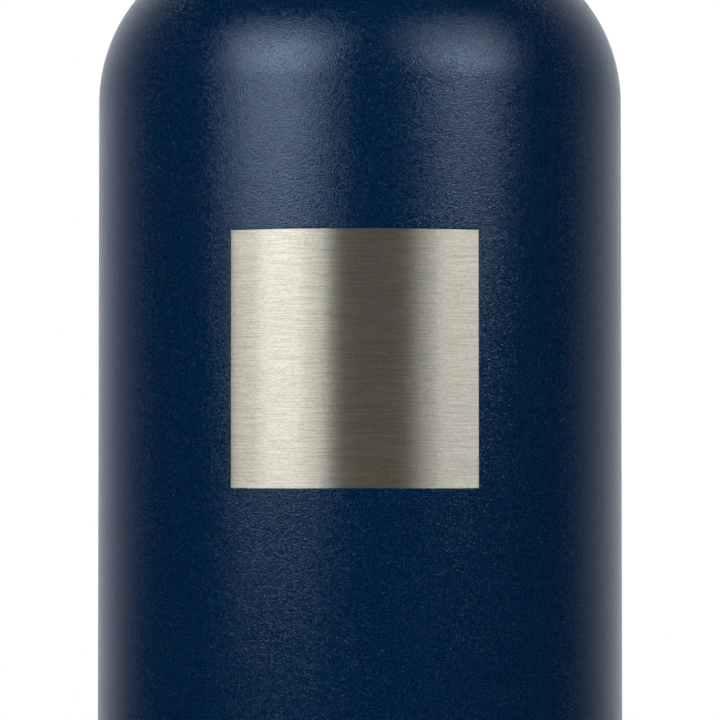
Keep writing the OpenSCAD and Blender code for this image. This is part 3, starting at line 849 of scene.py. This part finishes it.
def make_collar():
    """The lid's cover: skirt, fluted wall, crown, and a pad with its stop peg on both sides."""
    roof_z = COLLAR_EDGE_Z - COLLAR_WALL
    crown_wall_r = CROWN_BORE_R + COLLAR_WALL
    crown_edge_r = CROWN_BORE_R + 2
    slope_r = COLLAR_R - COLLAR_EDGE_R - 0.4  # where the crown's slope meets the round edge
    rib_r = FLANGE_R - 1.5  # the rib round the inside that sits on the flange's edge
    room_r = FLANGE_R + MOULD_FIT / 2
    ceiling_z = FLANGE_TOP_Z + MOULD_FIT / 2
    ledge_z = FLANGE_Z - MOULD_FIT
    outline = rounded([
        (SKIRT_R, COLLAR_Z, 0.3), (COLLAR_R, COLLAR_Z, 0.7),
        (COLLAR_R, COLLAR_EDGE_Z, COLLAR_EDGE_R - 0.2),
        (slope_r, COLLAR_EDGE_Z + 0.05, 2), (crown_edge_r, CROWN_Z, 2),
        (CROWN_BORE_R, CROWN_Z, 0.5),
        (CROWN_BORE_R, ceiling_z), (crown_wall_r, ceiling_z), (crown_wall_r, roof_z),
        (rib_r, roof_z), (rib_r, ceiling_z), (room_r, ceiling_z), (room_r, ledge_z),
        (SKIRT_R, ledge_z)], step=8)

    def under_pad(a):
        """Whether a flute at the angle a would run into a pad."""
        return abs(math.cos(a)) > math.cos(math.radians(18))

    flutes = fluted(COLLAR_R, COLLAR_FLUTES, depth=0.6, width=2.3, z0=COLLAR_Z + 1.1,
                    z1=COLLAR_EDGE_Z - COLLAR_EDGE_R - 0.6, skip=under_pad)
    collar = turned("collar", dense(outline, COLLAR_R, FLUTE_STEP), COLLAR_FLUTES * 20, flutes)
    for side in (-1, 1):
        pad = stud("pad", HUB_R, FLANGE_R + MOULD_FIT, PAD_X, edge_r=0.35, columns=96)
        peg = stud("peg", PEG_R, PAD_X - OVER, ARM_X + PEG_H, edge_r=0.25, columns=32)
        join(collar, along_x(pad, side, PIVOT_Z), along_x(peg, side, PIVOT_Z - PEG_DROP))
    return collar


def make_pin(name, side):
    """A pivot pin with a slightly domed head."""
    top_x = PIN_HEAD_X + PIN_HEAD_H
    edge_r, dome_h = 0.6, 0.1
    edge = arc(PIN_HEAD_R - edge_r, top_x - edge_r - dome_h, edge_r, 0, 80, step=10)
    shank = [(0, PIN_START_X), (PIN_R, PIN_START_X), (PIN_R, PIN_HEAD_X)]
    outline = shank + [(PIN_HEAD_R, PIN_HEAD_X)] + edge + [(0, top_x)]
    pin = turned(name, outline, columns=96)
    return along_x(pin, side, PIVOT_Z)


# ---- Drinking cap ----

def make_cap_shell():
    """The cap's cover with its flutes and the rim round the disc's seat."""
    rim_r = DISC_R + MOULD_FIT
    room_r = CAP_LINER_R + MOULD_FIT
    roof_z = CAP_PLATE_TOP_Z + MOULD_FIT
    wall = rounded([
        (room_r, CAP_Z, 0.2), (CAP_SHELL_R, CAP_Z, 0.5), (CAP_SHELL_R, CAP_TOP_Z, 2),
        (rim_r, CAP_TOP_Z, 0.35), (rim_r, DISC_Z)], step=8)
    outline = [(0, roof_z), (room_r, roof_z)] + wall + [(0, DISC_Z)]
    outline = dense(outline, CAP_SHELL_R, FLUTE_STEP, closed=False)
    flutes = fluted(CAP_SHELL_R, CAP_FLUTES, depth=0.7, width=2.6, z0=CAP_Z + 1.2,
                    z1=CAP_TOP_Z - 2.6)
    return turned("cap", outline, CAP_FLUTES * 24, flutes)


def make_disc():
    """The disc on the cap: a flat rim with a fine bevel round a shallow dish."""
    foot_z, top_z = DISC_Z, high("cap_disc").z
    bevel, dish = 0.2, 0.12
    rim_w, ring_w, rings = 1.2, 2, 4
    edge = arc(DISC_R - bevel, top_z - bevel, bevel, 0, 90, step=15)
    face = [(DISC_R - bevel - rim_w - k * ring_w, top_z - dish * ease(k, 0, rings))
            for k in range(rings + 1)]
    outline = [(0, foot_z), (DISC_R, foot_z)] + edge + face + [(0, top_z - dish)]
    return turned("disc", outline, columns=256)


def make_cap_liner():
    """The cap's inner part: a threaded wall, and a plate with a hollow plug for the spout."""
    thread_r = SPOUT_THREAD_R + THREAD_FIT
    entry_r = thread_r + CAP_THREAD_E + THREAD_ROOM
    bore_r = SPOUT_R + THREAD_ROOM
    plate_z = CAP_PLATE_TOP_Z - CAP_PLATE_T
    hollow_r = CAP_PLUG_R - CAP_PLUG_WALL
    hollow_z = CAP_PLUG_Z + CAP_PLUG_WALL
    chamfer, step_h = 0.4, 0.01
    inside = [(0, hollow_z), (hollow_r, hollow_z), (hollow_r, CAP_PLATE_TOP_Z),
              (CAP_LINER_R, CAP_PLATE_TOP_Z), (CAP_LINER_R, CAP_Z)]
    wall = [(entry_r, CAP_Z), (entry_r, CAP_THREAD_Z0), (bore_r, CAP_THREAD_Z0 + step_h),
            (bore_r, CAP_THREAD_Z1 + THREAD_END), (bore_r, plate_z)]
    wall = dense(wall, bore_r, THREAD_STEP, closed=False)
    plug = [(CAP_PLUG_R, plate_z), (CAP_PLUG_R, CAP_PLUG_Z + chamfer),
            (CAP_PLUG_R - chamfer, CAP_PLUG_Z), (0, CAP_PLUG_Z)]
    warp = female_thread(bore_r, thread_r, CAP_THREAD_E, CAP_LEAD, CAP_THREAD_Z0, CAP_THREAD_Z1)
    return turned("cap_lining", inside + wall + plug, 192, warp)


# ---- Handle ----

ARM_L = BAR_Z - CORNER_R - PIVOT_Z  # from the pivot up to the band's bend
BEND_L = CORNER_R * math.pi / 2
HALF_BAR = ARM_X - CORNER_R
HALF_BAND = ARM_L + BEND_L + HALF_BAR


def band_place(s, y, t):
    """A point of the handle: s along its inside from the left pivot, y across, t through it."""
    side = -1 if s < HALF_BAND else 1
    s = min(s, 2 * HALF_BAND - s)
    if s < ARM_L:
        x, z, out_x, out_z = ARM_X, PIVOT_Z + s, 1, 0
    elif s < ARM_L + BEND_L:
        a = (s - ARM_L) / CORNER_R
        out_x, out_z = math.cos(a), math.sin(a)
        x, z = HALF_BAR + CORNER_R * out_x, BAR_Z - CORNER_R + CORNER_R * out_z
    else:
        x, z, out_x, out_z = HALF_BAND - s, BAR_Z, 0, 1
    return side * (x + out_x * t), y, z + out_z * t


def band_edge():
    """One side of the flat band, as (along, across): from hub to hub, flaring to the bar."""
    hub = arc(0, 0, HUB_R, 180, 90, step=6)
    steps = 120
    flare = []
    for i in range(1, steps):
        s = 2 * HALF_BAND * i / steps
        height = band_place(s, 0, BAND_T / 2)[2]
        share = ease(height, BAR_Z - CORNER_R - 4, BAR_Z)
        flare.append((s, HUB_R + (BAR_W / 2 - HUB_R) * share))
    return hub + flare + [(2 * HALF_BAND - s, y) for s, y in hub[::-1]]


def make_handle():
    """The band with rounded edges, bent round the arch, with its bores and stop slots."""
    edge_r, edge_steps = 1.3, 6
    half = band_edge()
    normals = []
    for i in range(len(half)):
        (s0, y0), (s1, y1) = half[max(0, i - 1)], half[min(len(half) - 1, i + 1)]
        normals.append(Vector((y0 - y1, s1 - s0)).normalized())
    normals[0], normals[-1] = Vector((-1, 0)), Vector((1, 0))
    turns = [math.radians(90 * i / edge_steps) for i in range(edge_steps + 1)]
    rim = [(edge_r * (1 - math.sin(a)), BAND_T - edge_r * (1 - math.cos(a))) for a in turns]
    rim += [(inset, BAND_T - t) for inset, t in rim[::-1]]

    order = list(range(len(half))) + list(range(len(half) - 2, 0, -1))
    signs = [1] * len(half) + [-1] * (len(half) - 2)
    count = len(order)
    points, loops = [], []
    for inset, t in rim:
        loops.append(list(range(len(points), len(points) + count)))
        for i, sign in zip(order, signs):
            s, y = half[i][0] - normals[i].x * inset, half[i][1] - normals[i].y * inset
            points.append(band_place(s, sign * max(0, y), t))
    faces = [[a[k], a[(k + 1) % count], b[(k + 1) % count], b[k]]
             for a, b in zip(loops, loops[1:]) for k in range(count)]
    for loop in (loops[0], loops[-1]):
        for k in range(len(half) - 1):
            across = [loop[(count - k - 1) % count], loop[(count - k) % count]]
            faces.append(list(dict.fromkeys([loop[k], loop[k + 1]] + across)))
    handle = piece("handle", points, faces)
    for side in (-1, 1):
        cut(handle, along_x(pin_bore(), side, PIVOT_Z))
        cut(handle, stop_slot(side))
    return handle


def pin_bore():
    """The pin's bore and the recess of its head, with a chamfer, as a solid to cut out."""
    bore_r, recess_r = PIN_R + PIVOT_FIT, PIN_HEAD_R + 0.3
    recess_x = ARM_OUT_X - RECESS_H
    chamfer, past = 0.3, 0.2
    wide_r = recess_r + chamfer + past
    return turned("bore", [
        (0, ARM_X - OVER), (bore_r, ARM_X - OVER), (bore_r, recess_x), (recess_r, recess_x),
        (recess_r, ARM_OUT_X - chamfer), (wide_r, ARM_OUT_X + past), (wide_r, ARM_OUT_X + OVER),
        (0, ARM_OUT_X + OVER)], columns=64)


def stop_slot(side):
    """The arc that a stop peg runs in, as a solid to cut out of the handle's hub."""
    steps = 40
    joint = next(j for j in frame["joints"] if j["name"] == "handle_swing")
    half = max(joint["range_deg"]) + math.degrees(math.asin((PEG_R + TURN_FIT) / PEG_DROP))
    near_r, far_r = PEG_DROP - PEG_R - TURN_FIT, PEG_DROP + PEG_R + TURN_FIT
    x0, x1 = ARM_X - OVER, ARM_X + SLOT_DEPTH
    points, faces = [], []
    for i in range(steps + 1):
        a = math.radians(-half + 2 * half * i / steps)
        points += [(side * x, r * math.sin(a), PIVOT_Z - r * math.cos(a))
                   for x, r in ((x0, near_r), (x0, far_r), (x1, far_r), (x1, near_r))]
    for i in range(steps):
        here, ahead = 4 * i, 4 * i + 4
        faces += [[here + k, here + (k + 1) % 4, ahead + (k + 1) % 4, ahead + k]
                  for k in range(4)]
    faces += [[0, 1, 2, 3], [4 * steps + k for k in range(4)]]
    return piece("slot", points, faces)


def make_grip():
    """The soft sleeve round the bar: rounded, with shallow grooves across it."""
    half_l, half_w = high("handle_grip").x, high("handle_grip").y
    z0, z1 = low("handle_grip").z, high("handle_grip").z
    corner_r, end_r = 2.2, 0.9
    groove_depth, groove_half_w, pitch = 0.35, 0.55, 4.2
    grooves = [pitch * k for k in range(-2, 3)]
    steps = 160
    points, rings = [], []
    for i in range(steps + 1):
        x = -half_l + 2 * half_l * i / steps
        into_end = max(0, end_r - (half_l - abs(x)))
        inset = end_r - math.sqrt(max(0, end_r ** 2 - into_end ** 2))
        inset += groove_depth * sum(
            max(0, 1 - ((x - groove) / groove_half_w) ** 2) for groove in grooves)
        inset = min(inset, end_r)
        outline = rounded([
            (-half_w + inset, z0 + inset, corner_r), (half_w - inset, z0 + inset, corner_r),
            (half_w - inset, z1 - inset, corner_r), (-half_w + inset, z1 - inset, corner_r)],
            step=15)
        rings.append(list(range(len(points), len(points) + len(outline))))
        points += [(x, y, z) for y, z in outline]
    faces = [rings[0], rings[-1]]
    for a, b in zip(rings, rings[1:]):
        faces += [[a[k], a[(k + 1) % len(a)], b[(k + 1) % len(b)], b[k]] for k in range(len(a))]
    return piece("grip", points, faces)


dress(make_coat(), coat_finish, "powder_coat")
dress(make_shell(), shell_finish, "outer_shell")
dress(make_liner(), liner_finish, "inner_flask")
dress(make_base(), base_finish, "base_cup")
dress(make_bead(), bead_finish, "vacuum_seal")
lid_ring = make_gasket("lid_ring", "lid_gasket", LID_RING_R, edge_r=0.5)
dress(lid_ring, gasket_finish, "lid_gasket")
dress(make_plug(), lid_finish, "lid_plug")
dress(make_spout(), lid_finish, "lid_spout")
dress(make_collar(), lid_finish, "lid_collar")
dress(make_pin("pin_left", -1), pin_finish, "pivot_pin_left")
dress(make_pin("pin_right", 1), pin_finish, "pivot_pin_right")
cap_ring = make_gasket("cap_ring", "cap_gasket", CAP_RING_R, edge_r=0.4)
dress(cap_ring, gasket_finish, "cap_gasket")
dress(make_cap_liner(), lid_finish, "cap_liner")
dress(make_cap_shell(), lid_finish, "cap_shell")
dress(make_disc(), disc_finish, "cap_disc")
dress(make_handle(), handle_finish, "handle_arch")
dress(make_grip(), grip_finish, "handle_grip")
refinish("inner_base", liner_finish)
refinish("reflective_foil", foil_finish)
refinish("getter", getter_finish)
refinish("getter_clip", pin_finish)
refinish("lid_floor", lid_finish)
refinish("lid_foam", foam_finish)
refinish("cap_foam", foam_finish)
refinish("pivot_washer_left", washer_finish)
refinish("pivot_washer_right", washer_finish)


# ---- Studio ----

AMBIENT = 0.3
GLOSS_WHITE = 0.57
WHITE = (1, 1, 1)
BACKDROP_TINT = (0.94, 1, 1.12)
BACKDROP_FROM_TO = (0.3, 0.85)  # the Y of a direction, from where gloss begins to see the backdrop
BACKDROP_FALL = 0.8  # how much sooner that is for a direction that falls
FLOOR_SHADE = (0.8, 0.8, 0.8)
FLOOR_IN_GLOSS = (0.3, 0.255, 0.175)  # what gloss sees of the floor near the bottle
FLOOR_LIFT = 0.3  # the share of plain white in the floor by the bottle, which rises to 1 far off
LAMP_AIM_Z = 170


def behind_share(tree, direction):
    """0 for gloss that looks away from the backdrop, rising to GLOSS_WHITE where it looks at it."""
    axes = tree.node("SeparateXYZ")
    tree.links.new(direction, axes.inputs[0])
    fall = tree.math("MINIMUM", axes.outputs["Z"], 0)
    lowered = tree.math("MULTIPLY_ADD", fall, -BACKDROP_FALL, axes.outputs["Y"])
    return tree.range(lowered, *BACKDROP_FROM_TO, 0, GLOSS_WHITE)


def floor_surface():
    """Pale to the camera and fading to white. Gloss sees a warm shade that fades to black."""
    fade_from, fade_to = 0.1, 1.1  # metres from the bottle, as the nodes measure
    near_from, near_to = 0.2, 0.4
    ground = Surface("floor", Roughness=0.9, Specular_IOR_Level=0)
    far = ground.node("VectorMath", operation="LENGTH")
    ground.links.new(ground.place, far.inputs[0])
    distance = far.outputs["Value"]
    path = ground.node("LightPath")
    near = ground.range(distance, near_from, near_to, 1, 0)
    in_gloss = ground.mixed(near, (0, 0, 0), FLOOR_IN_GLOSS)
    ground.tint(path.outputs["Is Glossy Ray"], FLOOR_SHADE, in_gloss)
    behind = behind_share(ground, ground.place)
    seen = ground.math("ADD", path.outputs["Is Camera Ray"],
                       ground.math("MULTIPLY", path.outputs["Is Glossy Ray"], behind))
    fade = ground.range(distance, fade_from, fade_to, FLOOR_LIFT, 1)
    white = ground.node("Emission")
    blend = ground.blend(ground.math("MULTIPLY", fade, seen),
                         ground.shader.outputs[0], white.outputs[0])
    ground.links.new(blend, ground.nodes["Material Output"].inputs["Surface"])
    return ground.material


def make_floor():
    """A pale floor that keeps the shadow and fades into the white surroundings."""
    rings, columns, reach = 24, 96, 1200
    points = [(0, 0, 0)]
    for i in range(1, rings + 1):
        r = reach * (i / rings) ** 2
        angles = [2 * math.pi * k / columns for k in range(columns)]
        points += [(r * math.cos(a), r * math.sin(a), 0) for a in angles]
    faces = [[0, 1 + k, 1 + (k + 1) % columns] for k in range(columns)]
    for i in range(rings - 1):
        a = 1 + i * columns
        faces += [[a + k, a + (k + 1) % columns, a + columns + (k + 1) % columns, a + columns + k]
                  for k in range(columns)]
    floor = piece("floor", points, faces)
    floor.data.materials.append(floor_surface())


def make_world():
    """White to the camera. Gloss sees the white backdrop behind the bottle, and dark elsewhere."""
    world = bpy.data.worlds.new("studio")
    bpy.context.scene.world = world
    tree = Tree(world)
    tree.nodes.clear()
    path = tree.node("LightPath")
    ambient, backdrop, white = (tree.node("Background") for _ in range(3))
    for light, color in ((ambient, WHITE), (backdrop, BACKDROP_TINT), (white, WHITE)):
        light.inputs["Color"].default_value = (*color, 1)
    ambient.inputs["Strength"].default_value = AMBIENT
    behind = behind_share(tree, tree.node("TexCoord").outputs["Generated"])
    tree.links.new(behind, backdrop.inputs["Strength"])
    unseen = tree.blend(path.outputs["Is Glossy Ray"], ambient.outputs[0], backdrop.outputs[0])
    sky = tree.blend(path.outputs["Is Camera Ray"], unseen, white.outputs[0])
    tree.links.new(sky, tree.node("OutputWorld").inputs[0])


def make_softbox(name, azimuth, elevation, half_wide, half_tall, radiance):
    """A rectangular lamp, placed and sized by the angles at which the body sees it, in degrees.

    Azimuth is from the camera's side, to the right.
    """
    distance = 800
    lamp = bpy.data.lights.new(name, "AREA")
    lamp.shape = "RECTANGLE"
    lamp.size = 2 * distance * math.tan(math.radians(half_wide)) * MM
    lamp.size_y = 2 * distance * math.tan(math.radians(half_tall)) * MM
    lamp.energy = radiance * math.pi * lamp.size * lamp.size_y
    obj = bpy.data.objects.new(name, lamp)
    obj.visible_camera = False
    a, e = math.radians(azimuth), math.radians(elevation)
    reach = Vector((math.sin(a) * math.cos(e), -math.cos(a) * math.cos(e), math.sin(e)))
    obj.location = (Vector((0, 0, LAMP_AIM_Z)) + reach * distance) * MM
    obj.rotation_euler = reach.to_track_quat("Z", "Y").to_euler()
    bpy.context.scene.collection.objects.link(obj)


def make_camera():
    """The camera that looks almost level across the upper body, a little from the right."""
    azimuth, upward = math.radians(1.2), 1.695
    distance, height = 460, 150.6
    camera = bpy.data.cameras.new("camera")
    camera.lens, camera.sensor_width = 164.3, 36
    camera.clip_start, camera.clip_end = 0.01, 20
    obj = bpy.data.objects.new("camera", camera)
    place = Vector((math.sin(azimuth) * distance, -math.cos(azimuth) * distance, height))
    obj.location = place * MM
    obj.rotation_euler = (math.radians(90 + upward), 0, azimuth)
    bpy.context.scene.collection.objects.link(obj)
    bpy.context.scene.camera = obj


make_floor()
make_world()
make_softbox("left_softbox", azimuth=-35, elevation=22, half_wide=21, half_tall=18, radiance=3.8)
make_softbox("left_core", azimuth=-33, elevation=18.5, half_wide=9.5, half_tall=7, radiance=4.25)
make_softbox("right_softbox", azimuth=48, elevation=26.5, half_wide=20, half_tall=14.5,
             radiance=2.5)
make_softbox("right_core", azimuth=47.5, elevation=16, half_wide=13, half_tall=6, radiance=4.3)
make_softbox("rear_softbox", azimuth=181, elevation=50, half_wide=26, half_tall=14, radiance=2.5)
make_camera()
bpy.context.scene.view_settings.view_transform = "Standard"
